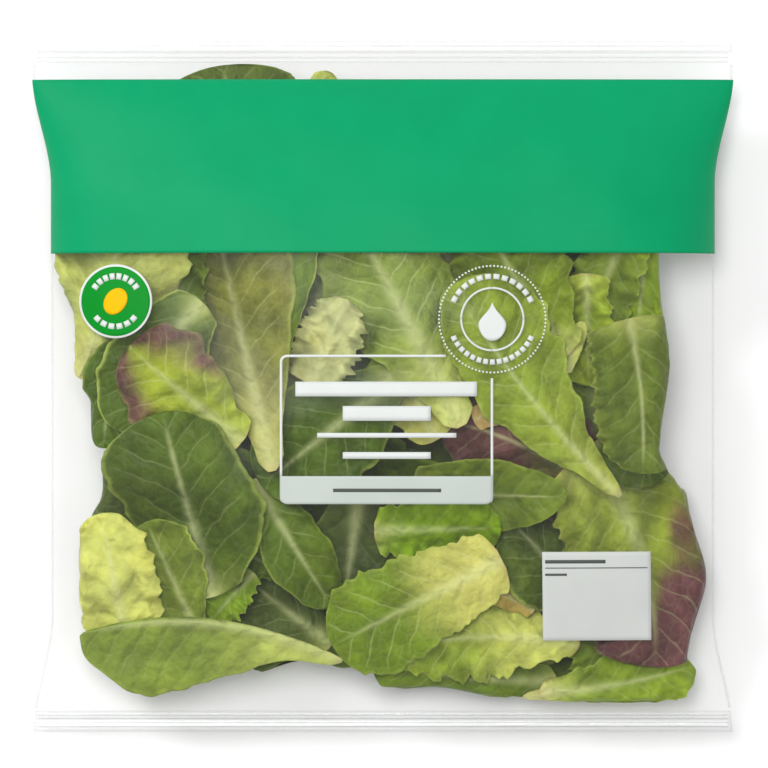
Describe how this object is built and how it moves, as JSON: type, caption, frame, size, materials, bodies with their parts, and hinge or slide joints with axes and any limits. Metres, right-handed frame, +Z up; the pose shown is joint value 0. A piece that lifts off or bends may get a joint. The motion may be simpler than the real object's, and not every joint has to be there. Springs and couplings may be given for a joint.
{
  "type": "pillow bag of salad leaves",
  "caption": "Pillow bag of mixed lettuce leaves in clear film, welded and serrated at both ends, nipped in at its sides, with a plain printed band. It lies on its back.",
  "frame": {"origin": "under the middle of the bag, on the surface that it rests on", "axes": "+Z up out of the printed front, +Y towards the top end of the bag, +X to the right seen from the front"},
  "size_m": [0.25, 0.248, 0.055],
  "materials": {
    "filled_film": "clear glossy film over green leaves"
  },
  "bodies": {
    "root": {"bag": "filled_film"}
  },
  "joints": []
}
